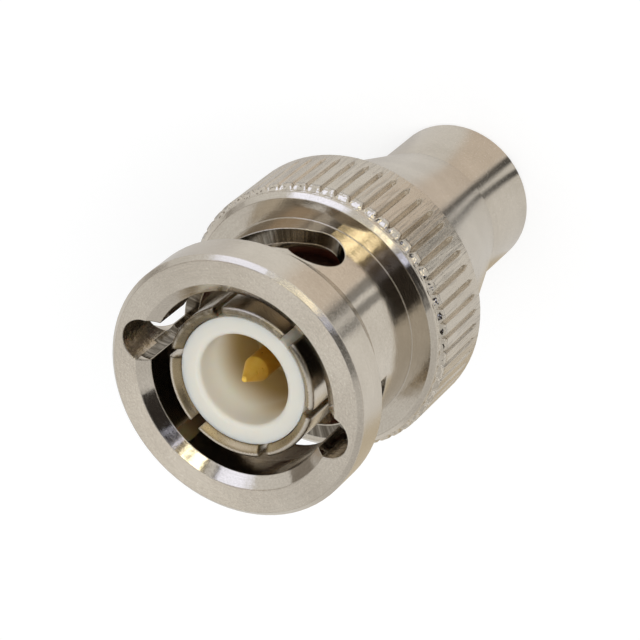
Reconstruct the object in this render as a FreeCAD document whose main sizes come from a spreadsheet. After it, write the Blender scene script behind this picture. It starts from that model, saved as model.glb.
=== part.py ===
import FreeCAD, Part
import math
import os
import re
import Sketcher

# BNC plug to RCA jack adapter, standing on the open end of its RCA barrel.
# +Z runs along the axis from the RCA end to the BNC mouth. Lengths are in millimetres, angles in degrees.

doc = FreeCAD.newDocument("bnc_to_rca_adapter")
sheet = doc.addObject("Spreadsheet::Sheet", "Sizes")

SIZES = {
    # rear body, from the RCA end upwards
    "barrel_diameter": 8.3,
    "barrel_length": 4.55,
    "barrel_wall": 0.65,
    "barrel_edge": 0.25,
    "cone_length": 8.0,
    "shoulder_diameter": 12.9,
    "shoulder_rim": 0.3,
    "neck_diameter": 8.3,
    # play between pieces that turn or slide on each other
    "running_clearance": 0.08,
    "end_float": 0.05,
    "washer_clearance": 0.1,
    # coupling nut, knurled grip and bore
    "nut_length": 12.9,
    "nut_bore": 9.8,
    "nut_floor": 0.75,
    "mouth_diameter": 10.96,
    "mouth_depth": 0.5,
    "grip_diameter": 14.5,
    "grip_length": 4.9,
    "grip_rear_edge": 0.15,
    "grip_rear_rim": 0.4,
    "grip_front_band": 0.75,
    "grip_front_edge": 0.25,
    "knurl_depth": 0.25,
    "knurl_width": 0.3,
    "knurl_ramp": 0.4,
    "knurl_count": 56,
    # coupling nut, waist and front ring
    "waist_diameter": 11.4,
    "ring_diameter": 13.9,
    "ring_length": 2.15,
    "ring_edge": 0.24,
    "ring_cone": 1.95,
    # coupling nut, bayonet cams: depths are taken from the mouth
    "cam_count": 2,
    "cam_width": 2.4,
    "cam_lead": 9.54,
    "cam_sweep": 90,
    "lock_diameter": 3.0,
    "lock_depth": 5.75,
    "lock_angle": -62.5,
    "entry_diameter": 2.36,
    "entry_radius": 5.2,
    "entry_depth": 5.2,
    # washers under the collar
    "thrust_thickness": 0.3,
    "washer_width": 0.55,
    "wave_height": 1.3,
    "wave_thickness": 0.25,
    "wave_count": 3,
    # outer contact with its spring fingers
    "contact_diameter": 8.0,
    "contact_wall": 0.55,
    "contact_reach": 9.25,
    "collar_diameter": 9.5,
    "collar_thickness": 0.7,
    "spigot_length": 3.0,
    "spigot_bore": 5.2,
    "seat_height": 0.2,
    "seal_seat_step": 0.35,
    "finger_count": 6,
    "finger_length": 4.1,
    "finger_gap": 0.55,
    "finger_angle": -29.0,
    "finger_outer_edge": 0.12,
    "finger_inner_edge": 0.28,
    # seal ring at the foot of the outer contact
    "seal_width": 0.4,
    "seal_thickness": 0.7,
    # insulator of the plug
    "plug_insulator_diameter": 6.8,
    "plug_insulator_recess": 0.28,
    "plug_insulator_boss": 2.5,
    "funnel_diameter": 4.86,
    "funnel_depth": 5.6,
    "funnel_edge": 0.24,
    # centre pin
    "pin_diameter": 1.34,
    "pin_root_diameter": 1.8,
    "pin_recess": 0.45,
    "pin_tip_diameter": 0.28,
    "pin_tip_length": 1.25,
    "pin_collar_diameter": 2.4,
    "pin_collar_thickness": 0.6,
    "pin_tail": 2.5,
    "pin_tail_diameter": 1.3,
    # jack insulator and its socket contact
    "jack_recess": 0.3,
    "jack_lip": 0.7,
    "jack_hole": 3.7,
    "jack_hole_edge": 0.3,
    "socket_bore": 3.2,
    "socket_wall": 0.42,
    "socket_depth": 8.4,
    "socket_slit": 0.35,
    "socket_slit_length": 6.5,
    "socket_slit_count": 4,
    # how far a cutting shape runs past the face that it cuts
    "overrun": 0.6,
}

for row, (alias, number) in enumerate(SIZES.items(), start=1):
    sheet.set("A%d" % row, alias.replace("_", " "))
    sheet.set("B%d" % row, str(number))
    sheet.setAlias("B%d" % row, alias)
doc.recompute()

# Heights above the RCA end that several pieces share.
SHOULDER_TOP = "barrel_length + cone_length + shoulder_rim"
NUT_BOTTOM = "(" + SHOULDER_TOP + " + end_float)"
THRUST_BOTTOM = "(" + NUT_BOTTOM + " + nut_floor)"
WAVE_BOTTOM = "(" + THRUST_BOTTOM + " + thrust_thickness)"
COLLAR_BOTTOM = "(" + WAVE_BOTTOM + " + wave_height)"
COLLAR_TOP = "(" + COLLAR_BOTTOM + " + collar_thickness)"
SEAT = "(" + COLLAR_TOP + " + seat_height)"
CONTACT_TIP = "(" + COLLAR_TOP + " + contact_reach)"
SPIGOT_BOTTOM = "(" + COLLAR_BOTTOM + " - spigot_length)"
PLUG_FACE = "(" + CONTACT_TIP + " - plug_insulator_recess)"
FUNNEL_FLOOR = "(" + PLUG_FACE + " - funnel_depth)"
BOSS_BOTTOM = "(" + SEAT + " - plug_insulator_boss)"
PIN_TIP = "(" + CONTACT_TIP + " - pin_recess)"
PIN_COLLAR_BOTTOM = "(" + BOSS_BOTTOM + " - pin_collar_thickness)"
TAIL_BOTTOM = "(" + PIN_COLLAR_BOTTOM + " - pin_tail)"
SOCKET_BOTTOM = "(jack_recess + jack_lip)"
BODY_BORE = "(barrel_diameter / 2 - barrel_wall)"
CONTACT_BORE = "(contact_diameter / 2 - contact_wall)"
WASHER_INNER = "(neck_diameter / 2 + washer_clearance)"
WASHER_OUTER = "(neck_diameter / 2 + washer_clearance + washer_width)"
SOCKET_OUTER = "(socket_bore / 2 + socket_wall)"
SEAL_INNER = "(contact_diameter / 2 + seal_seat_step)"
SEAL_OUTER = "(contact_diameter / 2 + seal_seat_step + seal_width)"
SEAL_TOP = "(" + COLLAR_TOP + " + seal_thickness)"


def cells(text):
    """The expression with each size written as a cell of the sheet."""
    return re.sub(r"[a-z_]+", lambda word: "Sizes." + word.group(), text)


def value(text):
    """The number that an expression gives now."""
    return float(sheet.evalExpression(text))


def plane(body, role):
    """One of a body's own origin planes or axes."""
    return next(item for item in body.Origin.OriginFeatures if item.Role == role)


def new_body(label, turn=None, lift=None):
    """A body with its label, turned about Z and lifted by expressions of the sheet."""
    body = doc.addObject("PartDesign::Body", label)
    body.Label = label
    if turn:
        body.Placement = FreeCAD.Placement(FreeCAD.Vector(), FreeCAD.Vector(0, 0, 1), value(turn))
        body.setExpression("Placement.Rotation.Angle", cells(turn))
    if lift:
        body.setExpression("Placement.Base.z", cells(lift))
    return body


def new_sketch(body, name, role, height=None):
    """A sketch on one of the body's origin planes, raised along its normal if a height is given."""
    sketch = body.newObject("Sketcher::SketchObject", name)
    sketch.AttachmentSupport = [(plane(body, role), "")]
    sketch.MapMode = "FlatFace"
    if height:
        sketch.setExpression("AttachmentOffset.Base.z", cells(height))
    return sketch


def hold(sketch, geometry, corner, axis, text):
    """Keeps one point of a sketch at a distance from the origin, along X or Y."""
    if text == "0":
        sketch.addConstraint(Sketcher.Constraint("PointOnObject", geometry, corner, -2 if axis == "X" else -1))
        return
    number = value(text)
    index = sketch.addConstraint(Sketcher.Constraint("Distance" + axis, -1, 1, geometry, corner, number))
    sketch.setExpression("Constraints[%d]" % index, cells(text))


def closed_outline(sketch, corners):
    """Straight lines round the corners, each corner held by the two expressions that place it."""
    places = [FreeCAD.Vector(value(across), value(up), 0) for across, up in corners]
    count = len(places)
    for index in range(count):
        sketch.addGeometry(Part.LineSegment(places[index], places[(index + 1) % count]), False)
    for index in range(count):
        sketch.addConstraint(Sketcher.Constraint("Coincident", index, 2, (index + 1) % count, 1))
    for index, (across, up) in enumerate(corners):
        hold(sketch, index, 1, "X", across)
        hold(sketch, index, 1, "Y", up)


def circle(sketch, across, up, diameter):
    """One circle, with its centre and diameter held by expressions."""
    centre = FreeCAD.Vector(value(across), value(up), 0)
    index = sketch.addGeometry(Part.Circle(centre, FreeCAD.Vector(0, 0, 1), value(diameter) / 2), False)
    hold(sketch, index, 3, "X", across)
    hold(sketch, index, 3, "Y", up)
    size = sketch.addConstraint(Sketcher.Constraint("Diameter", index, value(diameter)))
    sketch.setExpression("Constraints[%d]" % size, cells(diameter))


def turned(body, name, corners):
    """A turned solid: the outline is in radius and height, and turns about the body's Z axis."""
    sketch = new_sketch(body, name + "_profile", "XZ_Plane")
    closed_outline(sketch, corners)
    solid = body.newObject("PartDesign::Revolution", name)
    solid.Profile = sketch
    solid.ReferenceAxis = (sketch, ["V_Axis"])
    solid.Angle = 360
    doc.recompute()
    return solid


def cut(body, name, sketch, length, reverse):
    """A pocket of one depth from its sketch, which has to take material away."""
    before = body.Shape.Volume
    pocket = body.newObject("PartDesign::Pocket", name)
    pocket.Profile = sketch
    pocket.Type = "Length"
    pocket.setExpression("Length", cells(length))
    pocket.Reversed = reverse
    doc.recompute()
    if body.Shape.Volume > before - 1e-6:
        raise ValueError(name + " cuts nothing")
    return pocket


def round_about(body, name, features, count):
    """Repeats features evenly about the body's Z axis."""
    pattern = body.newObject("PartDesign::PolarPattern", name)
    pattern.Originals = features
    pattern.Axis = (plane(body, "Z_Axis"), [""])
    pattern.Angle = 360
    pattern.setExpression("Occurrences", cells(count))
    body.Tip = pattern
    doc.recompute()
    return pattern


def radial_slits(body, name, count, gap, outer, bottom, top):
    """Saw cuts from the axis outwards, repeated round the tube."""
    sketch = new_sketch(body, name + "_profile", "XZ_Plane")
    closed_outline(sketch, [("0", bottom), (outer, bottom), (outer, top), ("0", top)])
    before = body.Shape.Volume
    saw = body.newObject("PartDesign::Pocket", name)
    saw.Profile = sketch
    saw.Type = "Length"
    saw.Midplane = True
    saw.setExpression("Length", cells(gap))
    doc.recompute()
    if body.Shape.Volume > before - 1e-6:
        raise ValueError(name + " cuts nothing")
    return round_about(body, name + "_round", [saw], count)


def rear_body():
    """Turned body: RCA barrel, conical shoulder, and the neck that carries nut and washers."""
    body = new_body("rear_body")
    barrel = "barrel_diameter / 2"
    shoulder = "shoulder_diameter / 2"
    cone_top = "barrel_length + cone_length"
    turned(body, "turned_body", [
        (BODY_BORE, "0"),
        (barrel + " - barrel_edge", "0"),
        (barrel, "barrel_edge"),
        (barrel, "barrel_length"),
        (shoulder, cone_top),
        (shoulder, SHOULDER_TOP),
        ("neck_diameter / 2", SHOULDER_TOP),
        ("neck_diameter / 2", COLLAR_BOTTOM),
        (BODY_BORE, COLLAR_BOTTOM),
    ])
    return body


def coupling_nut():
    """Bayonet nut: knurled grip, waist with two cam slots, front ring, and an inner floor that the spring pulls on.

    Its own origin is at the middle of its rear face, with one lock hole on its +X side.
    """
    body = new_body("coupling_nut", turn="lock_angle", lift=NUT_BOTTOM)
    grip = "grip_diameter / 2"
    root = "(grip_diameter / 2 - knurl_depth)"
    ring_bottom = "(nut_length - ring_length)"
    turned(body, "nut_blank", [
        ("neck_diameter / 2 + running_clearance", "0"),
        (grip + " - grip_rear_edge", "0"),
        (grip, "grip_rear_edge"),
        (grip, "grip_length - grip_front_band"),
        (root, "grip_length - grip_front_band + knurl_depth"),
        (root, "grip_length - grip_front_edge"),
        (root + " - grip_front_edge", "grip_length"),
        ("waist_diameter / 2", "grip_length"),
        ("waist_diameter / 2", ring_bottom + " - ring_cone"),
        ("ring_diameter / 2", ring_bottom),
        ("ring_diameter / 2", "nut_length - ring_edge"),
        ("ring_diameter / 2 - ring_edge", "nut_length"),
        ("mouth_diameter / 2", "nut_length"),
        ("nut_bore / 2", "nut_length - mouth_depth"),
        ("nut_bore / 2", "nut_floor"),
        ("neck_diameter / 2 + running_clearance", "nut_floor"),
    ])

    # the stud goes in along a round-bottomed groove, blind in the ring and open through the waist
    entry = new_sketch(body, "entry_profile", "XY_Plane", "nut_length")
    circle(entry, "0", "entry_radius", "entry_diameter")
    entry_cut = cut(body, "entry", entry, "entry_depth", False)

    # then it follows a helical slot through the wall, which starts with a round end at the groove
    track = new_sketch(body, "cam_profile", "XZ_Plane")
    cam_middle = "nut_length - lock_depth - (lock_diameter - cam_width) / 2"
    inner = "nut_bore / 2 - overrun"
    outer = "ring_diameter / 2 + overrun"
    closed_outline(track, [
        (inner, cam_middle + " - cam_width / 2"),
        (outer, cam_middle + " - cam_width / 2"),
        (outer, cam_middle + " + cam_width / 2"),
        (inner, cam_middle + " + cam_width / 2"),
    ])
    before = body.Shape.Volume
    cam = body.newObject("PartDesign::SubtractiveHelix", "cam")
    cam.Profile = track
    cam.ReferenceAxis = (track, ["V_Axis"])
    cam.Mode = 0
    cam.setExpression("Pitch", cells("cam_lead"))
    cam.setExpression("Height", cells("cam_lead * cam_sweep / 360"))
    doc.recompute()
    if body.Shape.Volume > before - 1e-6:
        raise ValueError("cam cuts nothing")
    start = new_sketch(body, "start_profile", "XZ_Plane")
    circle(start, "0", cam_middle + " + cam_lead * cam_sweep / 360", "cam_width")
    start_cut = cut(body, "start", start, "ring_diameter / 2 + overrun", False)

    # and drops forward into a round lock hole
    lock = new_sketch(body, "lock_profile", "YZ_Plane")
    circle(lock, "0", "nut_length - lock_depth", "lock_diameter")
    lock_cut = cut(body, "lock", lock, "ring_diameter / 2 + overrun", True)
    round_about(body, "cams", [entry_cut, cam, start_cut, lock_cut], "cam_count")

    # straight knurl, one V groove that runs out at the back, turned round the grip
    half_pitch = "knurl_width / 2 * (knurl_depth + overrun) / knurl_depth"
    sections = []
    for name, height, lift in (
        ("knurl_front", "grip_length + overrun", "0"),
        ("knurl_back", "grip_rear_edge + grip_rear_rim + knurl_ramp", "0"),
        ("knurl_end", "grip_rear_edge + grip_rear_rim", "knurl_depth"),
    ):
        section = new_sketch(body, name, "XY_Plane", height)
        closed_outline(section, [
            (grip + " - knurl_depth + " + lift, "0"),
            (grip + " + overrun + " + lift, half_pitch),
            (grip + " + overrun + " + lift, "0 - " + half_pitch),
        ])
        sections.append(section)
    before = body.Shape.Volume
    knurl = body.newObject("PartDesign::SubtractiveLoft", "knurl")
    knurl.Profile = sections[0]
    knurl.Sections = sections[1:]
    knurl.Ruled = True
    doc.recompute()
    if body.Shape.Volume > before - 1e-6:
        raise ValueError("knurl cuts nothing")
    round_about(body, "knurl_round", [knurl], "knurl_count")
    return body


def outer_contact():
    """Slotted sleeve of spring fingers, with the collar that traps the washers and the spigot in the neck."""
    body = new_body("outer_contact", turn="finger_angle")
    outside = "contact_diameter / 2"
    turned(body, "turned_contact", [
        ("spigot_bore / 2", SPIGOT_BOTTOM),
        (BODY_BORE, SPIGOT_BOTTOM),
        (BODY_BORE, COLLAR_BOTTOM),
        ("collar_diameter / 2", COLLAR_BOTTOM),
        ("collar_diameter / 2", COLLAR_TOP),
        (SEAL_INNER, COLLAR_TOP),
        (SEAL_INNER, SEAL_TOP),
        (outside, SEAL_TOP),
        (outside, CONTACT_TIP + " - finger_outer_edge"),
        (outside + " - finger_outer_edge", CONTACT_TIP),
        (CONTACT_BORE + " + finger_inner_edge", CONTACT_TIP),
        (CONTACT_BORE, CONTACT_TIP + " - finger_inner_edge"),
        (CONTACT_BORE, SEAT),
        ("spigot_bore / 2", SEAT),
    ])
    radial_slits(body, "slits", "finger_count", "finger_gap", outside + " + overrun",
                 CONTACT_TIP + " - finger_length", CONTACT_TIP + " + overrun")
    return body


def seal_ring():
    """Rubber ring that the jack's shell presses on."""
    body = new_body("seal_ring")
    turned(body, "ring", [
        (SEAL_INNER, COLLAR_TOP),
        (SEAL_OUTER, COLLAR_TOP),
        (SEAL_OUTER, SEAL_TOP),
        (SEAL_INNER, SEAL_TOP),
    ])
    return body


def thrust_washer():
    """Flat washer on the nut's inner floor."""
    body = new_body("thrust_washer")
    turned(body, "flat_ring", [
        (WASHER_INNER, THRUST_BOTTOM),
        (WASHER_OUTER, THRUST_BOTTOM),
        (WASHER_OUTER, WAVE_BOTTOM),
        (WASHER_INNER, WAVE_BOTTOM),
    ])
    return body


def plug_insulator():
    """White insulator of the plug, with the rounded mouth of its well and the boss below its seat."""
    body = new_body("plug_insulator")
    outside = "plug_insulator_diameter / 2"
    well = "funnel_diameter / 2"
    turned(body, "moulding", [
        ("pin_root_diameter / 2", BOSS_BOTTOM),
        ("spigot_bore / 2", BOSS_BOTTOM),
        ("spigot_bore / 2", SEAT),
        (outside, SEAT),
        (outside, PLUG_FACE),
        (well + " + funnel_edge", PLUG_FACE),
        (well + " + funnel_edge * 0.5", PLUG_FACE + " - funnel_edge * 0.134"),
        (well + " + funnel_edge * 0.134", PLUG_FACE + " - funnel_edge * 0.5"),
        (well, PLUG_FACE + " - funnel_edge"),
        (well, FUNNEL_FLOOR),
        ("pin_root_diameter / 2", FUNNEL_FLOOR),
    ])
    return body


def centre_pin():
    """Pin of the plug: a thick root in the insulator, a collar under its boss, a tail in the socket contact."""
    body = new_body("centre_pin")
    shank = "pin_diameter / 2"
    root = "pin_root_diameter / 2"
    tail = "pin_tail_diameter / 2"
    turned(body, "turned_pin", [
        ("0", TAIL_BOTTOM),
        (tail, TAIL_BOTTOM),
        (tail, PIN_COLLAR_BOTTOM),
        ("pin_collar_diameter / 2", PIN_COLLAR_BOTTOM),
        ("pin_collar_diameter / 2", BOSS_BOTTOM),
        (root, BOSS_BOTTOM),
        (root, FUNNEL_FLOOR),
        (shank, FUNNEL_FLOOR),
        (shank, PIN_TIP + " - pin_tip_length"),
        ("pin_tip_diameter / 2", PIN_TIP),
        ("0", PIN_TIP),
    ])
    return body


def jack_insulator():
    """Insulator of the jack: fills the barrel, with a lip that stops the socket contact."""
    body = new_body("jack_insulator")
    hole = "jack_hole / 2"
    turned(body, "jack_moulding", [
        (hole + " + jack_hole_edge", "jack_recess"),
        (BODY_BORE, "jack_recess"),
        (BODY_BORE, SPIGOT_BOTTOM),
        (SOCKET_OUTER, SPIGOT_BOTTOM),
        (SOCKET_OUTER, SOCKET_BOTTOM),
        (hole, SOCKET_BOTTOM),
        (hole, "jack_recess + jack_hole_edge"),
    ])
    return body


def jack_contact():
    """Slotted socket that takes the RCA pin, with a hole in its top for the centre pin's tail."""
    body = new_body("jack_contact")
    bore = "socket_bore / 2"
    turned(body, "turned_socket", [
        (bore, SOCKET_BOTTOM),
        (SOCKET_OUTER, SOCKET_BOTTOM),
        (SOCKET_OUTER, SPIGOT_BOTTOM),
        ("pin_tail_diameter / 2", SPIGOT_BOTTOM),
        ("pin_tail_diameter / 2", TAIL_BOTTOM),
        ("0", TAIL_BOTTOM),
        ("0", SOCKET_BOTTOM + " + socket_depth"),
        (bore, SOCKET_BOTTOM + " + socket_depth"),
    ])
    radial_slits(body, "socket_slits", "socket_slit_count", "socket_slit", SOCKET_OUTER + " + overrun",
                 SOCKET_BOTTOM + " - overrun", SOCKET_BOTTOM + " + socket_slit_length")
    return body


def wave_curve(radius, bottom):
    """A closed wavy line round the axis, at one radius, from one lowest height."""
    waves = int(value("wave_count"))
    rise = (value("wave_height") - value("wave_thickness")) / 2
    steps = 12 * waves
    points = []
    for step in range(steps):
        angle = 2 * math.pi * step / steps
        height = bottom + rise * (1 + math.cos(waves * angle))
        points.append(FreeCAD.Vector(radius * math.cos(angle), radius * math.sin(angle), height))
    curve = Part.BSplineCurve()
    curve.interpolate(points, PeriodicFlag=True)
    return curve.toShape()


def wave_washer():
    """Spring washer bent into waves, between the thrust washer and the collar."""
    inner = value(WASHER_INNER)
    outer = value(WASHER_OUTER)
    thickness = value("wave_thickness")
    lower_inner = wave_curve(inner, 0)
    lower_outer = wave_curve(outer, 0)
    upper_inner = wave_curve(inner, thickness)
    upper_outer = wave_curve(outer, thickness)
    faces = [
        Part.makeRuledSurface(lower_inner, lower_outer),
        Part.makeRuledSurface(upper_inner, upper_outer),
        Part.makeRuledSurface(lower_outer, upper_outer),
        Part.makeRuledSurface(lower_inner, upper_inner),
    ]
    shell = Part.Shell(faces)
    shell.sewShape()
    solid = Part.Solid(shell)
    if solid.Volume < 0:
        solid.reverse()
    washer = doc.addObject("Part::Feature", "wave_washer")
    washer.Label = "wave_washer"
    washer.Shape = solid
    washer.Placement = FreeCAD.Placement(FreeCAD.Vector(0, 0, value(WAVE_BOTTOM)), FreeCAD.Rotation())
    washer.setExpression("Placement.Base.z", cells(WAVE_BOTTOM))
    return washer


pieces = [
    rear_body(),
    coupling_nut(),
    thrust_washer(),
    wave_washer(),
    outer_contact(),
    seal_ring(),
    plug_insulator(),
    centre_pin(),
    jack_insulator(),
    jack_contact(),
]
doc.recompute()

for item in doc.Objects:
    if "Invalid" in item.State or "Error" in item.State:
        raise ValueError(item.Name + " failed: " + ", ".join(item.State))
for piece in pieces:
    if piece.Shape.isNull() or not piece.Shape.isValid() or len(piece.Shape.Solids) != 1:
        raise ValueError(piece.Label + " is not one valid solid")

os.makedirs("parts", exist_ok=True)
for piece in pieces:
    piece.Shape.exportStep("parts/%s.step" % piece.Label)
    box = piece.Shape.BoundBox
    print("%-16s volume %8.2f mm3  Z %6.2f to %6.2f  radius %5.2f" %
          (piece.Label, piece.Shape.Volume, box.ZMin, box.ZMax, box.XMax))
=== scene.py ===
# %% [markdown]
# A BNC to RCA adapter is about as long as the top of a thumb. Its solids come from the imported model
# and are right as they are, so this lesson is about what is put on them: turned nickel, a knurl that
# holds dark lines, white plastic, a gold pin, and the bright tent that polished metal needs around it.
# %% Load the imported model
import math

import bmesh
import bpy
from mathutils import Matrix, Vector


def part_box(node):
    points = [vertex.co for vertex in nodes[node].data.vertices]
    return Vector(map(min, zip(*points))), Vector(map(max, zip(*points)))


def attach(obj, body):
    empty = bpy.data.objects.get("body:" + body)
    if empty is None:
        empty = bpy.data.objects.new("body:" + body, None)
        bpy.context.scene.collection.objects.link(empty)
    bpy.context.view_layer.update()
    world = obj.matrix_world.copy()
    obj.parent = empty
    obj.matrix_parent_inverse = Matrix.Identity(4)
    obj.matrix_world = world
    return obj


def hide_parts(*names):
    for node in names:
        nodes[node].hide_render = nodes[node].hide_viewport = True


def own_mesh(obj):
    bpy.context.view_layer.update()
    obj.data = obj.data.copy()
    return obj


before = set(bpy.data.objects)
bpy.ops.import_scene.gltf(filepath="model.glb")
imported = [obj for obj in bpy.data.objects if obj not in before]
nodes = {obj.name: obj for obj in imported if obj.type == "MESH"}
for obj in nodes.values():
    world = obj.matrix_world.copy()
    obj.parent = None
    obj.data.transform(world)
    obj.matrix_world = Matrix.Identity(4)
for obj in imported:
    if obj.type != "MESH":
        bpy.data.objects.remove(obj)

bpy.ops.object.select_all(action="DESELECT")
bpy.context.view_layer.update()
MM = 0.001
print("nodes:", ", ".join(sorted(nodes)))

# %% [markdown]
# The photograph looks down into the bayonet mouth with a long lens, and the camera is rolled so that
# the axis runs from lower left to upper right. The adapter stands on its RCA end here, so the roll is
# given to the camera: it is first aimed at a point on the axis, then turned about its own view line.
# %% Camera
EYE = Vector((-0.008, -92.54, 137.83)) * MM
AIM = Vector((-0.221, 0.0, 17.04)) * MM
ROLL = math.radians(-130.84)
LENS = 169.02


def add_camera(eye, aim, roll, lens):
    """A camera at eye that looks at aim, turned by roll about its line of sight."""
    data = bpy.data.cameras.new("camera")
    data.lens = lens
    data.sensor_width = 36
    data.clip_start = 0.01
    camera = bpy.data.objects.new("camera", data)
    bpy.context.scene.collection.objects.link(camera)
    look = (aim - eye).to_track_quat("-Z", "Y").to_matrix()
    turn = Matrix.Rotation(roll, 3, "Z")
    camera.matrix_world = Matrix.Translation(eye) @ (look @ turn).to_4x4()
    bpy.context.scene.camera = camera
    return camera


camera = add_camera(EYE, AIM, ROLL, LENS)
bpy.context.scene.view_settings.view_transform = "Standard"
axes = camera.matrix_world.to_3x3()
print("camera right", axes.col[0], "up", axes.col[1])

# %% [markdown]
# Materials are node trees. A few short helpers keep them readable: one makes a node and sets its
# inputs, and the others stand for a sum, a smooth step and a mix of two colours.
# %% Node helpers


def add_node(tree, kind, **inputs):
    """Makes a node. An input is a number, a colour or another node's output."""
    node = tree.nodes.new(kind)
    for name, given in inputs.items():
        socket = node.inputs[name.replace("_", " ")]
        if isinstance(given, bpy.types.NodeSocket):
            tree.links.new(given, socket)
        else:
            socket.default_value = given
    return node


def calc(tree, operation, *values):
    """One step of arithmetic, as the output of a Math node."""
    node = tree.nodes.new("ShaderNodeMath")
    node.operation = operation
    for socket, given in zip(node.inputs, values):
        if isinstance(given, bpy.types.NodeSocket):
            tree.links.new(given, socket)
        else:
            socket.default_value = given
    return node.outputs[0]


def step(tree, value, low, high, start=0.0, end=1.0):
    """Goes smoothly from start to end while value goes from low to high."""
    node = tree.nodes.new("ShaderNodeMapRange")
    node.interpolation_type = "SMOOTHSTEP"
    tree.links.new(value, node.inputs["Value"])
    node.inputs["From Min"].default_value = low
    node.inputs["From Max"].default_value = high
    node.inputs["To Min"].default_value = start
    node.inputs["To Max"].default_value = end
    return node.outputs["Result"]


def between(tree, value, low, high, soft):
    """1 where value lies between low and high, falling to 0 over soft on each side."""
    rise = step(tree, value, low - soft, low)
    fall = step(tree, value, high, high + soft, 1.0, 0.0)
    return calc(tree, "MULTIPLY", rise, fall)


def mix(tree, factor, first, second):
    """A mix of two colours."""
    node = tree.nodes.new("ShaderNodeMix")
    node.data_type = "RGBA"
    for index, given in ((0, factor), (6, first), (7, second)):
        if isinstance(given, bpy.types.NodeSocket):
            tree.links.new(given, node.inputs[index])
        elif index == 0:
            node.inputs[index].default_value = given
        else:
            node.inputs[index].default_value = (*given, 1.0)
    return node.outputs[2]


def noise(tree, vector, scale, detail=2.0, roughness=0.5):
    """A noise texture's grey value."""
    node = add_node(tree, "ShaderNodeTexNoise", Vector=vector, Scale=scale, Detail=detail,
                    Roughness=roughness)
    return node.outputs["Fac"]


def new_material(name):
    """An empty material with its Principled shader."""
    material = bpy.data.materials.new(name)
    material.use_nodes = True
    return material, material.node_tree, material.node_tree.nodes["Principled BSDF"]


def dress(node_name, material):
    """Gives a carried-over solid its material."""
    slots = nodes[node_name].data.materials
    slots.clear()
    slots.append(material)
    print(node_name, "wears", material.name)


# %% [markdown]
# Everything metal here was cut on a lathe, so every mark on it runs round the axis. Two stretched
# coordinates serve all of it: one is nearly constant round the part, as tool marks are, and the other
# is nearly constant along it, as the lines of the knurl are.
# %% Lathe coordinates
ROUND_STRETCH = 0.06
ALONG_STRETCH = 0.07
BEVEL_SAMPLES = 6
QUARTER_TURN = 0.25


class Lathe:
    """Coordinates about the axis, in millimetres, as outputs of nodes."""

    def __init__(self, tree):
        place = add_node(tree, "ShaderNodeTexCoord").outputs["Object"]
        parts = add_node(tree, "ShaderNodeSeparateXYZ", Vector=place).outputs
        x = calc(tree, "DIVIDE", parts["X"], MM)
        y = calc(tree, "DIVIDE", parts["Y"], MM)
        self.height = calc(tree, "DIVIDE", parts["Z"], MM)
        squares = calc(tree, "ADD", calc(tree, "MULTIPLY", x, x), calc(tree, "MULTIPLY", y, y))
        self.radius = calc(tree, "SQRT", squares)
        self.angle = calc(tree, "ARCTAN2", y, x)
        self.point = add_node(tree, "ShaderNodeCombineXYZ", X=x, Y=y, Z=self.height).outputs[0]
        slow = calc(tree, "MULTIPLY", x, ROUND_STRETCH)
        self.round = add_node(tree, "ShaderNodeCombineXYZ", X=self.radius, Y=self.height,
                              Z=slow).outputs[0]
        flat = calc(tree, "MULTIPLY", self.height, ALONG_STRETCH)
        self.along = add_node(tree, "ShaderNodeCombineXYZ", X=x, Y=y, Z=flat).outputs[0]


def facing(tree, place, angle):
    """1 on the side of an angle about the axis, falling to -1 on the other side."""
    return calc(tree, "COSINE", calc(tree, "SUBTRACT", place.angle, angle))


def rounded(tree, radius, height, depth):
    """Normals with each edge rounded by radius, and marks of one depth, in millimetres, on top."""
    bevel = add_node(tree, "ShaderNodeBevel", Radius=radius)
    bevel.samples = BEVEL_SAMPLES
    bump = add_node(tree, "ShaderNodeBump", Height=height, Normal=bevel.outputs["Normal"],
                    Strength=1.0, Distance=depth * MM)
    return bump.outputs["Normal"]


def brush_round(tree, shader, amount):
    """Stretches highlights across the tool marks, which run round the axis."""
    tangent = tree.nodes.new("ShaderNodeTangent")
    tangent.direction_type = "RADIAL"
    tangent.axis = "Z"
    tree.links.new(tangent.outputs["Tangent"], shader.inputs["Tangent"])
    shader.inputs["Anisotropic"].default_value = amount
    shader.inputs["Anisotropic Rotation"].default_value = QUARTER_TURN


def finish_metal(tree, shader, colour, rough, normal, brushed):
    """Makes a shader metal with a colour, a roughness, normals and brushed highlights."""
    tree.links.new(colour, shader.inputs["Base Color"])
    tree.links.new(rough, shader.inputs["Roughness"])
    tree.links.new(normal, shader.inputs["Normal"])
    brush_round(tree, shader, brushed)
    shader.inputs["Metallic"].default_value = 1.0


# %% [markdown]
# The nickel is plated over turned brass. It is warm rather than blue, and satin where the tool left
# it: the ring, the grip and the barrel. A fine speckle of pits and grains breaks the satin up.
# %% Turned nickel
NICKEL_LIGHT = (0.71, 0.645, 0.55)
NICKEL_DARK = (0.56, 0.50, 0.415)
EDGE_ROUNDING = 0.05 * MM
MARK_DEPTH = 0.004


def satin_nickel(tree, place, satin):
    """Base colour, roughness and bump height of turned satin nickel."""
    marks = noise(tree, place.round, 22.0, 2.0, 0.6)
    speckle = noise(tree, place.point, 9.0, 4.0, 0.75)
    cloud = noise(tree, place.point, 0.45, 2.0, 0.5)
    tone = calc(tree, "ADD", calc(tree, "MULTIPLY", marks, 0.2), calc(tree, "MULTIPLY", speckle, 0.5))
    tone = calc(tree, "ADD", tone, calc(tree, "MULTIPLY", cloud, 0.3))
    colour = mix(tree, step(tree, tone, 0.30, 0.70), NICKEL_DARK, NICKEL_LIGHT)
    rough = step(tree, speckle, 0.25, 0.75, satin - 0.05, satin + 0.07)
    height = calc(tree, "ADD", calc(tree, "MULTIPLY", marks, 0.4), calc(tree, "MULTIPLY", speckle, 0.6))
    return colour, rough, height


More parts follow.
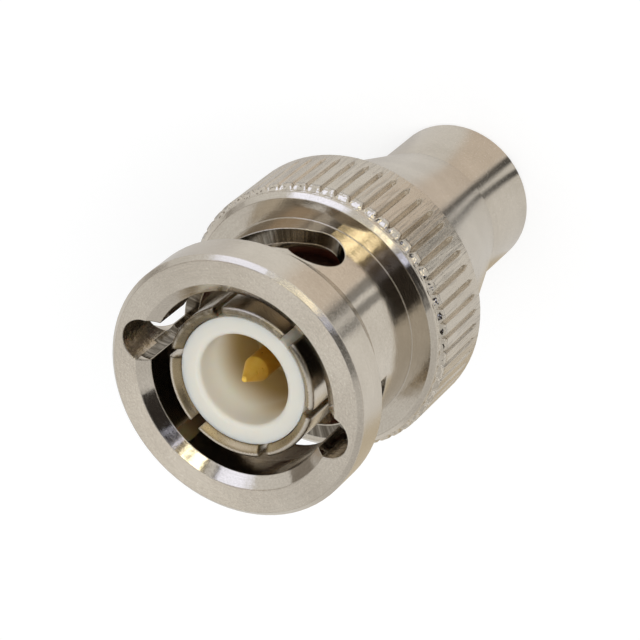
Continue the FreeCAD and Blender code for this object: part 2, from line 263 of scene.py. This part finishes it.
def nickel(name, satin, brushed=0.6, depth=MARK_DEPTH):
    """Turned nickel all over."""
    material, tree, shader = new_material(name)
    colour, rough, height = satin_nickel(tree, Lathe(tree), satin)
    normal = rounded(tree, EDGE_ROUNDING, height, depth)
    finish_metal(tree, shader, colour, rough, normal, brushed)
    return material


dress("rear_body", nickel("nickel_barrel", satin=0.22, brushed=0.8, depth=0.006))
dress("thrust_washer", nickel("nickel_washer", satin=0.28))
dress("wave_washer", nickel("spring_steel", satin=0.25))

# %% [markdown]
# The sprung sleeve has the same nickel with softer edges. Its tips have a painted tan reflection along
# their inner edge, and a painted brown shade over the whole tip on one side, in patches. Both are found
# by height and radius.
# %% Sleeve of six fingers
FINGER_SATIN = 0.17
FINGER_BRUSHED = 0.3
FINGER_ROUNDING = 0.24 * MM
TIP_HEIGHT = 24.9
TAN_RADIUS = 3.72
TAN_DULLNESS = 0.12
TIP_PAINTED_REFLECTION = (0.40, 0.315, 0.19)
BROWN_RADIUS = 3.9
TIP_PAINTED_SHADE = (0.22, 0.18, 0.12)
TIP_SHADE_ANGLE = math.radians(-40)


def tip_zone(tree, place, radius, soft, depth):
    """1 on the tips inside a radius; soft and depth say how far it takes to fade out and down."""
    inside = step(tree, place.radius, radius + soft, radius)
    above = step(tree, place.height, TIP_HEIGHT - depth, TIP_HEIGHT)
    return calc(tree, "MULTIPLY", inside, above)


def finger_nickel(name):
    """Nickel of the sprung sleeve, with the painted tan reflection and the painted brown shade of its
    tips.
    """
    material, tree, shader = new_material(name)
    place = Lathe(tree)
    colour, rough, height = satin_nickel(tree, place, FINGER_SATIN)
    # Painted reflection: the inner edge of the tips is tinted tan, standing in for the white plastic they
    # mirror.
    inner_edge = tip_zone(tree, place, TAN_RADIUS, 0.1, 0.3)
    colour = mix(tree, inner_edge, colour, TIP_PAINTED_REFLECTION)
    rough = calc(tree, "ADD", rough, calc(tree, "MULTIPLY", inner_edge, TAN_DULLNESS))
    # Painted shade: the whole tip goes brown on one side, in patches, for the dark that it mirrors there.
    painted_dark_side = step(tree, noise(tree, place.point, 2.5, 3.0, 0.6), 0.3, 0.6, 0.5, 1.0)
    painted_dark_side = calc(tree, "MULTIPLY", painted_dark_side, step(tree, facing(tree, place, TIP_SHADE_ANGLE), 0.0, 0.7))
    whole_tip = tip_zone(tree, place, BROWN_RADIUS, 0.06, 0.2)
    colour = mix(tree, calc(tree, "MULTIPLY", whole_tip, painted_dark_side), colour, TIP_PAINTED_SHADE)
    normal = rounded(tree, FINGER_ROUNDING, height, MARK_DEPTH)
    finish_metal(tree, shader, colour, rough, normal, FINGER_BRUSHED)
    return material


dress("outer_contact", finger_nickel("nickel_fingers"))

# %% [markdown]
# One piece is modelled here. The wave washer inside the nut flattens when the nut is pulled forward,
# which a solid can't do, so a washer of the same size is made as a mesh of its own, fixed to the
# adapter's body.
# It starts as a circle that is extruded outwards, its points are lifted along a cosine, one height at
# a time, and then the sheet gets its thickness and its broken edges.
# %% Wave washer
WAVES = 3
WAVE_STEPS = 24
SHEET = 0.25 * MM
WASHER_WIDTH = 0.55 * MM
BROKEN_EDGE = 0.03 * MM
SMOOTH_UNDER = math.radians(40)


def pick_points(mesh_object, wanted):
    """Selects the points of a mesh in edit mode for which wanted says yes."""
    bpy.ops.mesh.select_all(action="DESELECT")
    edit = bmesh.from_edit_mesh(mesh_object.data)
    for point in edit.verts:
        point.select = wanted(point.co)
    edit.select_flush(True)
    bmesh.update_edit_mesh(mesh_object.data)


def apply_modifier(mesh_object, kind, **settings):
    """Adds a modifier and applies it."""
    modifier = mesh_object.modifiers.new(kind.lower(), kind)
    for setting, given in settings.items():
        setattr(modifier, setting, given)
    bpy.ops.object.modifier_apply(modifier=modifier.name)


def wave_place(point):
    """How far a point lies from the last crest, in steps."""
    turn = math.atan2(point.y, point.x) / (2 * math.pi)
    return round(turn * WAVES * WAVE_STEPS) % WAVE_STEPS


low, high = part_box("wave_washer")
outer_radius = high[0]
inner_radius = outer_radius - WASHER_WIDTH
rise = (high[2] - low[2] - SHEET) / 2
bpy.ops.object.select_all(action="DESELECT")
bpy.ops.mesh.primitive_circle_add(vertices=WAVES * WAVE_STEPS, radius=inner_radius,
                                  location=(0, 0, low[2]))
spring = bpy.context.active_object
spring.name = "wave_spring"
bpy.ops.object.mode_set(mode="EDIT")
bpy.ops.mesh.select_mode(type="VERT")
bpy.ops.mesh.select_all(action="SELECT")
bpy.ops.mesh.extrude_region_move()
widen = outer_radius / inner_radius
bpy.ops.transform.resize(value=(widen, widen, 1.0))
for height_step in range(WAVE_STEPS // 2 + 1):
    pick_points(spring, lambda point: wave_place(point) in (height_step, WAVE_STEPS - height_step))
    lift = rise * (1 + math.cos(2 * math.pi * height_step / WAVE_STEPS))
    bpy.ops.transform.translate(value=(0, 0, lift))
bpy.ops.mesh.select_all(action="SELECT")
if bmesh.from_edit_mesh(spring.data).faces[:][0].normal.z < 0:
    bpy.ops.mesh.flip_normals()
bpy.ops.object.mode_set(mode="OBJECT")
apply_modifier(spring, "SOLIDIFY", thickness=SHEET, offset=1.0)
apply_modifier(spring, "BEVEL", width=BROKEN_EDGE, segments=2, limit_method="ANGLE")
bpy.ops.object.shade_smooth_by_angle(angle=SMOOTH_UNDER)
spring.data.materials.append(nodes["wave_washer"].data.materials[0])
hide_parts("wave_washer")
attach(spring, "adapter")
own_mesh(spring)
sides = [round(side / MM, 3) for side in spring.dimensions]
print(spring.name, len(spring.data.polygons), "faces,", sides, "mm")

# %% [markdown]
# The nut needs one material with several finishes, told apart by where a point lies on it. Its heights
# are read from its own box: the grip is rolled and full of fine lines, the waist and the face of the
# grip are polished, the lead-in of the mouth is bright, and the slot walls show the mill's cross marks.
# %% Places on the nut
NUT_FRONT = max((nodes["coupling_nut"].matrix_world @ Vector(corner)).z
                for corner in nodes["coupling_nut"].bound_box) / MM
GRIP_FRONT = NUT_FRONT - 8.0
GRIP_TEETH = NUT_FRONT - 8.75
RING_BACK = NUT_FRONT - 2.15
CONE_BACK = NUT_FRONT - 4.1
ROUGH_CUT = (NUT_FRONT - 5.4, NUT_FRONT - 3.8)
BORE_RADIUS = 4.9
LEAD_IN_RADIUS = 5.46
WAIST_RADIUS = 5.7
ENTRY_RADIUS = 6.45
GRIP_RADIUS = 7.25
KNURL_DEPTH = 0.25
KNURL_COUNT = 56
INSIDE = 0.08
EDGE_SOFT = 0.03


def lead_in_zone(tree, place):
    """1 on the bright cone that leads into the mouth."""
    mouth = step(tree, place.height, RING_BACK, RING_BACK + 0.1)
    return calc(tree, "MULTIPLY", between(tree, place.radius, 0.0, LEAD_IN_RADIUS, EDGE_SOFT), mouth)


def entry_zone(tree, place):
    """1 on the walls of the two entry grooves through the ring, without the lead-in."""
    wall = between(tree, place.radius, BORE_RADIUS + INSIDE, ENTRY_RADIUS, EDGE_SOFT)
    depth = between(tree, place.height, RING_BACK + 0.1, NUT_FRONT - 0.06, 0.02)
    wall = calc(tree, "MULTIPLY", wall, depth)
    return calc(tree, "MULTIPLY", wall, calc(tree, "SUBTRACT", 1.0, lead_in_zone(tree, place)))


def slot_zone(tree, place):
    """1 on the walls of the two cam slots."""
    wall = between(tree, place.radius, BORE_RADIUS + INSIDE, WAIST_RADIUS - 0.05, EDGE_SOFT)
    return calc(tree, "MULTIPLY", wall, step(tree, place.height, NUT_FRONT - 0.5, NUT_FRONT - 0.6))


print("the nut's front is", round(NUT_FRONT, 2), "mm above the foot")

# %% [markdown]
# Each finish is a function of its own that takes the satin nickel's colour, roughness and height and
# gives them back changed where it applies. Heights of marks are shares of one small bump distance.
# %% Finishes of the nut
NUT_SATIN = 0.21
NUT_BRUSHED = 0.75
NUT_ROUNDING = 0.09 * MM
GROOVE_ROUNDING = 0.04 * MM
RIPPLE_HEIGHT = 2.0
GROOVE_PAINTED_LIGHT = (0.95, 0.89, 0.79)
GROOVE_LIGHT_SHARE = 0.38
LINE_COLOUR = (0.33, 0.295, 0.25)
LINE_SHARE = 0.40
LINE_DEPTH = -8.0
GRIP_DULLNESS = 0.06
BURR_HEIGHT = 30.0
CROWN_HEIGHT = 10.0
SLOT_BROWN = (0.11, 0.09, 0.065)
ENTRY_TAN = (0.44, 0.36, 0.26)
CHATTER_STRETCH = 5.3
CHATTER_HEIGHT = 12.0


def polish(tree, place, rough, height):
    """The waist and the lead-in are smooth, and the whole nut has a slow ripple."""
    waist = between(tree, place.height, GRIP_FRONT - 0.2, CONE_BACK, 0.5)
    polished = calc(tree, "MAXIMUM", waist, lead_in_zone(tree, place))
    fine = noise(tree, place.round, 30.0, 2.0, 0.6)
    satin = calc(tree, "MULTIPLY", rough, calc(tree, "SUBTRACT", 1.0, polished))
    shiny = calc(tree, "MULTIPLY", polished, step(tree, fine, 0.3, 0.7, 0.08, 0.16))
    height = calc(tree, "MULTIPLY", height, step(tree, polished, 0.0, 1.0, 1.0, 0.25))
    ripple = calc(tree, "MULTIPLY", noise(tree, place.point, 1.3, 2.0, 0.5), RIPPLE_HEIGHT)
    return calc(tree, "ADD", satin, shiny), calc(tree, "ADD", height, ripple)


def roll_lines(tree, place, grip, colour, rough, height):
    """The rolled grip has fine lines along it, and painted light in its grooves that lifts the shade in
    them.
    """
    # Painted light: the groove floors are made paler to lift the shade that falls in them.
    groove = step(tree, place.radius, GRIP_RADIUS - 0.04, GRIP_RADIUS - 0.16, 0.0, GROOVE_LIGHT_SHARE)
    colour = mix(tree, calc(tree, "MULTIPLY", grip, groove), colour, GROOVE_PAINTED_LIGHT)
    lines = noise(tree, place.along, 7.0, 3.0, 0.6)
    dark = step(tree, lines, 0.50, 0.64, 0.0, LINE_SHARE)
    colour = mix(tree, calc(tree, "MULTIPLY", grip, dark), colour, LINE_COLOUR)
    height = calc(tree, "MULTIPLY", height, step(tree, grip, 0.0, 1.0, 1.0, 0.4))
    cut = calc(tree, "MULTIPLY", grip, calc(tree, "MULTIPLY", lines, LINE_DEPTH))
    rough = calc(tree, "ADD", rough, calc(tree, "MULTIPLY", grip, GRIP_DULLNESS))
    return colour, rough, calc(tree, "ADD", height, cut)


def raise_teeth(tree, place, rim, rough, height):
    """The front ends of the knurl's teeth are pushed up into bright, uneven burrs."""
    ends = between(tree, place.height, GRIP_TEETH - 0.05, GRIP_TEETH + 0.32, 0.1)
    teeth = calc(tree, "MULTIPLY", rim, ends)
    burr = calc(tree, "MULTIPLY", noise(tree, place.point, 2.2, 2.0, 0.5), BURR_HEIGHT)
    crown = calc(tree, "COSINE", calc(tree, "MULTIPLY", place.angle, KNURL_COUNT))
    bump = calc(tree, "SUBTRACT", burr, calc(tree, "MULTIPLY", crown, CROWN_HEIGHT))
    rough = calc(tree, "MULTIPLY", rough, step(tree, teeth, 0.0, 1.0, 1.0, 0.5))
    return rough, calc(tree, "ADD", height, calc(tree, "MULTIPLY", teeth, bump))


def mill_walls(tree, place, colour, height):
    """Slot walls turn dark brown and entry walls tan, in patches, with the mill's cross marks nearer the
    mouth.
    """
    entry = entry_zone(tree, place)
    milled = calc(tree, "MAXIMUM", slot_zone(tree, place), entry)
    sweep = calc(tree, "MULTIPLY", place.angle, CHATTER_STRETCH)
    cross = add_node(tree, "ShaderNodeCombineXYZ", X=sweep, Y=place.height).outputs[0]
    chatter = noise(tree, cross, 3.2, 3.0, 0.65)
    toned_walls = calc(tree, "MULTIPLY", milled, step(tree, chatter, 0.35, 0.62, 0.55, 1.0))
    colour = mix(tree, toned_walls, colour, mix(tree, entry, SLOT_BROWN, ENTRY_TAN))
    rough_cut = calc(tree, "MULTIPLY", milled, step(tree, place.height, *ROUGH_CUT))
    marks = calc(tree, "MULTIPLY", rough_cut, calc(tree, "MULTIPLY", chatter, CHATTER_HEIGHT))
    return colour, calc(tree, "ADD", height, marks)


def nut_nickel(name):
    """Satin ring, polished waist and lead-in, lined grip with rough tooth ends, milled slots."""
    material, tree, shader = new_material(name)
    place = Lathe(tree)
    colour, rough, height = satin_nickel(tree, place, NUT_SATIN)
    rough, height = polish(tree, place, rough, height)
    root = GRIP_RADIUS - KNURL_DEPTH
    rim = step(tree, place.radius, root - 0.3, root - 0.2)
    grip = calc(tree, "MULTIPLY", between(tree, place.height, 0.0, GRIP_TEETH, 0.1), rim)
    colour, rough, height = roll_lines(tree, place, grip, colour, rough, height)
    rough, height = raise_teeth(tree, place, rim, rough, height)
    colour, height = mill_walls(tree, place, colour, height)
    edges = step(tree, grip, 0.0, 1.0, NUT_ROUNDING, GROOVE_ROUNDING)
    normal = rounded(tree, edges, height, MARK_DEPTH)
    finish_metal(tree, shader, colour, rough, normal, NUT_BRUSHED)
    return material


dress("coupling_nut", nut_nickel("nickel_nut"))

# %% [markdown]
# The insulators are a white plastic that lets a little light in, which softens the shade in the well
# round the pin. The well has painted light, a whiter colour than the face at its mouth, and painted
# shade, amber at its floor and on one side, tinted by light off the gold pin.
# %% White insulators
PLASTIC_SHADE = (0.72, 0.69, 0.61)
PLASTIC_LIGHT = (0.77, 0.745, 0.67)
PLASTIC_ROUNDING = 0.08 * MM
WELL_PAINTED_LIGHT = (1.0, 0.96, 0.84)
WELL_PAINTED_SHADE = (0.55, 0.42, 0.19)
WELL_TOP = 24.6
SHADY_ANGLE = math.radians(-160)
LIGHT_DEPTH = 1.0 * MM


def white_plastic(name):
    """Off-white moulded plastic, with painted light in the well and painted amber shade at its floor and
    on one side.
    """
    material, tree, shader = new_material(name)
    place = Lathe(tree)
    cloud = noise(tree, place.point, 0.8, 3.0)
    colour = mix(tree, cloud, PLASTIC_SHADE, PLASTIC_LIGHT)
    # Painted light: the well is given a whiter colour than the face, so that it looks more brightly lit.
    colour = mix(tree, step(tree, place.height, WELL_TOP, WELL_TOP - 1.6), colour, WELL_PAINTED_LIGHT)
    # Painted shade: amber on one side of the well and at its floor, for shade tinted by light off the
    # gold pin.
    side = step(tree, facing(tree, place, SHADY_ANGLE), 0.0, 1.0)
    side = calc(tree, "MULTIPLY", step(tree, place.height, WELL_TOP, WELL_TOP - 2.6), side)
    deep = step(tree, place.height, WELL_TOP - 1.2, WELL_TOP - 3.8)
    colour = mix(tree, calc(tree, "MAXIMUM", side, deep), colour, WELL_PAINTED_SHADE)
    tree.links.new(colour, shader.inputs["Base Color"])
    grain = noise(tree, place.point, 9.0, 3.0)
    tree.links.new(step(tree, grain, 0.2, 0.8, 0.38, 0.52), shader.inputs["Roughness"])
    tree.links.new(rounded(tree, PLASTIC_ROUNDING, grain, 0.002), shader.inputs["Normal"])
    shader.inputs["Subsurface Weight"].default_value = 0.8
    shader.inputs["Subsurface Radius"].default_value = (1.0, 0.8, 0.6)
    shader.inputs["Subsurface Scale"].default_value = LIGHT_DEPTH
    return material


dress("plug_insulator", white_plastic("white_plug_plastic"))
dress("jack_insulator", white_plastic("white_jack_plastic"))

# %% [markdown]
# Both centre contacts are gold plated. The seal is a soft ring of red-brown rubber, nearly hidden
# between the sleeve and the nut.
# %% Gold contacts and rubber seal
GOLD_DEEP = (0.90, 0.54, 0.07)
GOLD_PALE = (1.0, 0.70, 0.18)
RUBBER_DARK = (0.20, 0.035, 0.02)
RUBBER_LIGHT = (0.30, 0.06, 0.035)
SOFT_ROUNDING = 0.1 * MM


def gold(name):
    """Gold plate over turned brass."""
    material, tree, shader = new_material(name)
    place = Lathe(tree)
    marks = noise(tree, place.round, 8.0, 2.0, 0.6)
    grain = noise(tree, place.point, 3.0, 3.0, 0.6)
    colour = mix(tree, grain, GOLD_DEEP, GOLD_PALE)
    tree.links.new(colour, shader.inputs["Base Color"])
    tree.links.new(step(tree, grain, 0.2, 0.8, 0.26, 0.40), shader.inputs["Roughness"])
    tree.links.new(rounded(tree, SOFT_ROUNDING, marks, 0.0006), shader.inputs["Normal"])
    shader.inputs["Metallic"].default_value = 1.0
    return material


def seal_rubber(name):
    """Matt silicone rubber."""
    material, tree, shader = new_material(name)
    cloud = noise(tree, Lathe(tree).point, 3.0, 3.0)
    tree.links.new(mix(tree, cloud, RUBBER_DARK, RUBBER_LIGHT), shader.inputs["Base Color"])
    tree.links.new(step(tree, cloud, 0.2, 0.8, 0.5, 0.7), shader.inputs["Roughness"])
    tree.links.new(rounded(tree, SOFT_ROUNDING, cloud, 0.01), shader.inputs["Normal"])
    return material


dress("centre_pin", gold("gold_pin"))
dress("jack_contact", gold("gold_socket"))
dress("seal_ring", seal_rubber("seal_rubber"))

# %% [markdown]
# Polished metal shows the room, so the room is made with care. The floor is white to the camera and a
# step greyer in the metal. Two dark strips lie on it in front of the adapter, as the legs of a stand
# would, and give the barrel and the ring their thin lengthwise streaks. Three faint tints near the
# adapter colour its sides a little. Strips and tints show in the metal only.
# %% White floor
FLOOR_HALF = 1.5
FLOOR_WHITE = 0.64
FLOOR_IN_METAL = 0.44
FLOOR_PAINT = 0.42
BLACK = (0.0, 0.0, 0.0)
WHITE = (1.0, 1.0, 1.0)
FLOOR_TINTS = (
    (125.0, 170.0, (0.80, 0.71, 0.56)),
    (-85.0, -62.0, (0.93, 0.84, 0.76)),
    (0.0, 40.0, (0.86, 0.85, 0.85)),
)
TINT_SOFT = 15.0
TINT_REACH = (35.0, 70.0)
STRIP_FOOT = 2.4
STRIPS = ((-93.5, -96.5, 7.4), (-102.0, -111.5, 5.8))
STRIP_NARROWING = 0.84
STRIP_DARKNESS = 0.84
STRIP_REACH = (30.0, 45.0)
PALE_STRETCH = (18.5, 22.5)
PALE_DARKNESS = 0.6


def bearing(tree, place, foot):
    """Compass angle of a point as seen from foot, in degrees."""
    parts = add_node(tree, "ShaderNodeSeparateXYZ", Vector=place.point).outputs
    x = calc(tree, "SUBTRACT", parts["X"], foot.x)
    y = calc(tree, "SUBTRACT", parts["Y"], foot.y)
    return calc(tree, "MULTIPLY", calc(tree, "ARCTAN2", y, x), 180 / math.pi)


def strip_light(tree, place):
    """1 on the bare floor and less on the strips, which fan out from the adapter and fade."""
    pale = between(tree, place.radius, *PALE_STRETCH, 3.0)
    darkness = step(tree, pale, 0.0, 1.0, STRIP_DARKNESS, PALE_DARKNESS)
    darkness = calc(tree, "MULTIPLY", darkness, step(tree, place.radius, *STRIP_REACH, 1.0, 0.0))
    bright = 1.0
    for foot_angle, azimuth, half_width in STRIPS:
        a = math.radians(foot_angle)
        foot = STRIP_FOOT * Vector((math.cos(a), math.sin(a)))
        off = calc(tree, "ABSOLUTE", calc(tree, "SUBTRACT", bearing(tree, place, foot), azimuth))
        width = step(tree, place.radius, 7.0, 20.0, half_width, half_width * STRIP_NARROWING)
        strip = step(tree, calc(tree, "DIVIDE", off, width), 0.4, 1.4, 1.0, 0.0)
        left = calc(tree, "SUBTRACT", 1.0, calc(tree, "MULTIPLY", strip, darkness))
        bright = calc(tree, "MULTIPLY", bright, left)
    return bright


def floor_tint(tree, place, shown):
    """The floor's tint, white wherever shown is 0."""
    tint = WHITE
    around = calc(tree, "MULTIPLY", place.angle, 180 / math.pi)
    near = step(tree, place.radius, *TINT_REACH, 1.0, 0.0)
    for first, last, shade in FLOOR_TINTS:
        zone = calc(tree, "MULTIPLY", between(tree, around, first, last, TINT_SOFT), near)
        tint = mix(tree, calc(tree, "MULTIPLY", zone, shown), tint, shade)
    return tint


bpy.ops.mesh.primitive_plane_add(size=2 * FLOOR_HALF, location=(0, 0, 0))
floor = bpy.context.active_object
floor.name = "studio_floor"
floor_material, tree, shader = new_material("floor_white")
place = Lathe(tree)
rays = add_node(tree, "ShaderNodeLightPath").outputs
dim = calc(tree, "MULTIPLY", calc(tree, "SUBTRACT", 1.0, strip_light(tree, place)), rays["Is Glossy Ray"])
grey = calc(tree, "SUBTRACT", 1.0, dim)
tint = floor_tint(tree, place, rays["Is Glossy Ray"])
in_metal = calc(tree, "MULTIPLY", rays["Is Glossy Ray"], FLOOR_IN_METAL)
glow = calc(tree, "ADD", calc(tree, "MULTIPLY", rays["Is Camera Ray"], FLOOR_WHITE), in_metal)
paint = mix(tree, calc(tree, "MULTIPLY", grey, FLOOR_PAINT), BLACK, tint)
tree.links.new(paint, shader.inputs["Base Color"])
shader.inputs["Roughness"].default_value = 0.9
shader.inputs["Specular IOR Level"].default_value = 0.0
tree.links.new(tint, shader.inputs["Emission Color"])
tree.links.new(calc(tree, "MULTIPLY", glow, grey), shader.inputs["Emission Strength"])
floor.data.materials.append(floor_material)
print("floor", floor.dimensions)

# %% [markdown]
# Round it stands a white tent, a little brighter on the side of the window. What the metal mirrors of
# the room is a short list of soft patches: the window, a lamp with its side, its gold reflector and
# the flare in it, a white card behind, and the darker ones: the lens, ceiling, curtain, doorway, shelf,
# its wood and a stand. Each has a compass heading, a height, a size, a soft edge and a colour.
# %% Patches of the room
TENT_SHADE = (0.46, 0.45, 0.44)
TENT_BRIGHT = (0.72, 0.73, 0.735)
MIRROR_SHADE = (0.60, 0.60, 0.60)
MIRROR_BRIGHT = (0.76, 0.77, 0.78)
WINDOW_HEADING = (-25, 35)
WAVER = 0.12
NOISE_MIDDLE = (0.5, 0.5, 0.5)
ROOM = (
    ("lens", -115, 51, 21, 5, (0.03, 0.026, 0.024)),
    ("shelf", 44, 55, 11, 5, (0.30, 0.27, 0.235)),
    ("wood", 14, 55, 8, 5, (0.50, 0.415, 0.33)),
    ("stand", -10, 55, 3, 4, (0.15, 0.135, 0.13)),
    ("ceiling", -62, 57, 15, 6, (0.11, 0.085, 0.06)),
    ("curtain", -30, 50, 9, 6, (0.10, 0.09, 0.075)),
    ("window", -24, 27, 14, 7, (1.35, 1.45, 1.80)),
    ("lamp", -77, 38, 7, 3, (2.6, 2.4, 1.85)),
    ("lamp side", -95, 43, 3, 4, (1.1, 1.2, 1.6)),
    ("reflector", -58, 50, 4, 6, (1.55, 1.40, 0.94)),
    ("flare", -58, 49, 2, 4, (3.9, 3.75, 2.95)),
    ("doorway", 38, 8, 9, 8, (0.26, 0.24, 0.22)),
    ("back card", 90, 37, 6, 6, (1.45, 1.42, 1.38)),
)


def heading(azimuth, elevation):
    """A direction from its compass angle about +Z and its height above the horizon."""
    a, e = math.radians(azimuth), math.radians(elevation)
    return Vector((math.cos(e) * math.cos(a), math.cos(e) * math.sin(a), math.sin(e)))


def towards(tree, direction, azimuth, elevation):
    """Cosine of the angle between a direction and a heading."""
    dot = tree.nodes.new("ShaderNodeVectorMath")
    dot.operation = "DOT_PRODUCT"
    tree.links.new(direction, dot.inputs[0])
    dot.inputs[1].default_value = heading(azimuth, elevation)
    return dot.outputs["Value"]


def room_patch(tree, direction, azimuth, elevation, size, soft):
    """1 near a heading, falling to 0; size and soft are in degrees."""
    near = math.cos(math.radians(size))
    far = math.cos(math.radians(size + soft))
    return step(tree, towards(tree, direction, azimuth, elevation), far, near)


print(len(ROOM), "patches:", ", ".join(patch[0] for patch in ROOM))

# %% [markdown]
# Turned metal is never quite even, so the direction is bent a little by a noise before the room is
# looked up. The camera sees plain white, the metal sees the patches, and all else sees the tent.
# %% World tent
world = bpy.data.worlds.new("tent")
bpy.context.scene.world = world
world.use_nodes = True
tree = world.node_tree
direction = add_node(tree, "ShaderNodeTexCoord").outputs["Generated"]
wave = add_node(tree, "ShaderNodeTexNoise", Vector=direction, Scale=5.0, Detail=3.0).outputs["Color"]
shift = add_node(tree, "ShaderNodeVectorMath")
shift.operation = "SUBTRACT"
tree.links.new(wave, shift.inputs[0])
shift.inputs[1].default_value = NOISE_MIDDLE
bend = add_node(tree, "ShaderNodeVectorMath")
bend.operation = "MULTIPLY_ADD"
tree.links.new(shift.outputs["Vector"], bend.inputs[0])
bend.inputs[1].default_value = (WAVER, WAVER, WAVER)
tree.links.new(direction, bend.inputs[2])
direction = bend.outputs["Vector"]
rays = add_node(tree, "ShaderNodeLightPath").outputs
lit = step(tree, towards(tree, direction, *WINDOW_HEADING), -0.9, 0.9)
tent = mix(tree, lit, TENT_SHADE, TENT_BRIGHT)
mirrored = mix(tree, lit, MIRROR_SHADE, MIRROR_BRIGHT)
for name, azimuth, elevation, size, soft, glow in ROOM:
    seen = room_patch(tree, direction, azimuth, elevation, size, soft)
    mirrored = mix(tree, seen, mirrored, glow)
colour = mix(tree, rays["Is Glossy Ray"], tent, mirrored)
colour = mix(tree, rays["Is Camera Ray"], colour, WHITE)
tree.links.new(colour, tree.nodes["Background"].inputs["Color"])
print("world", world.name, "with", len(tree.nodes), "nodes")

# %% [markdown]
# Two soft lamps give the floor its shadow and the white plastic its form. The metal doesn't mirror
# them, because the room above already has its window and its lamp.
# %% Softboxes
MIDDLE = Vector((0, 0, 14 * MM))


def softbox(name, azimuth, elevation, distance, size, radiance):
    """A square area lamp that faces the adapter and shines with a given radiance."""
    data = bpy.data.lights.new(name, "AREA")
    data.size = size
    data.energy = radiance * math.pi * size * size
    lamp = bpy.data.objects.new(name, data)
    bpy.context.scene.collection.objects.link(lamp)
    away = heading(azimuth, elevation)
    turn = away.to_track_quat("Z", "Y").to_matrix().to_4x4()
    lamp.matrix_world = Matrix.Translation(away * distance + MIDDLE) @ turn
    lamp.visible_glossy = False
    print(name, "energy", round(data.energy, 3))
    return lamp


softbox("key_light", azimuth=-105, elevation=50, distance=0.6, size=0.30, radiance=5.0)
softbox("fill_light", azimuth=150, elevation=35, distance=0.7, size=0.4, radiance=0.6)
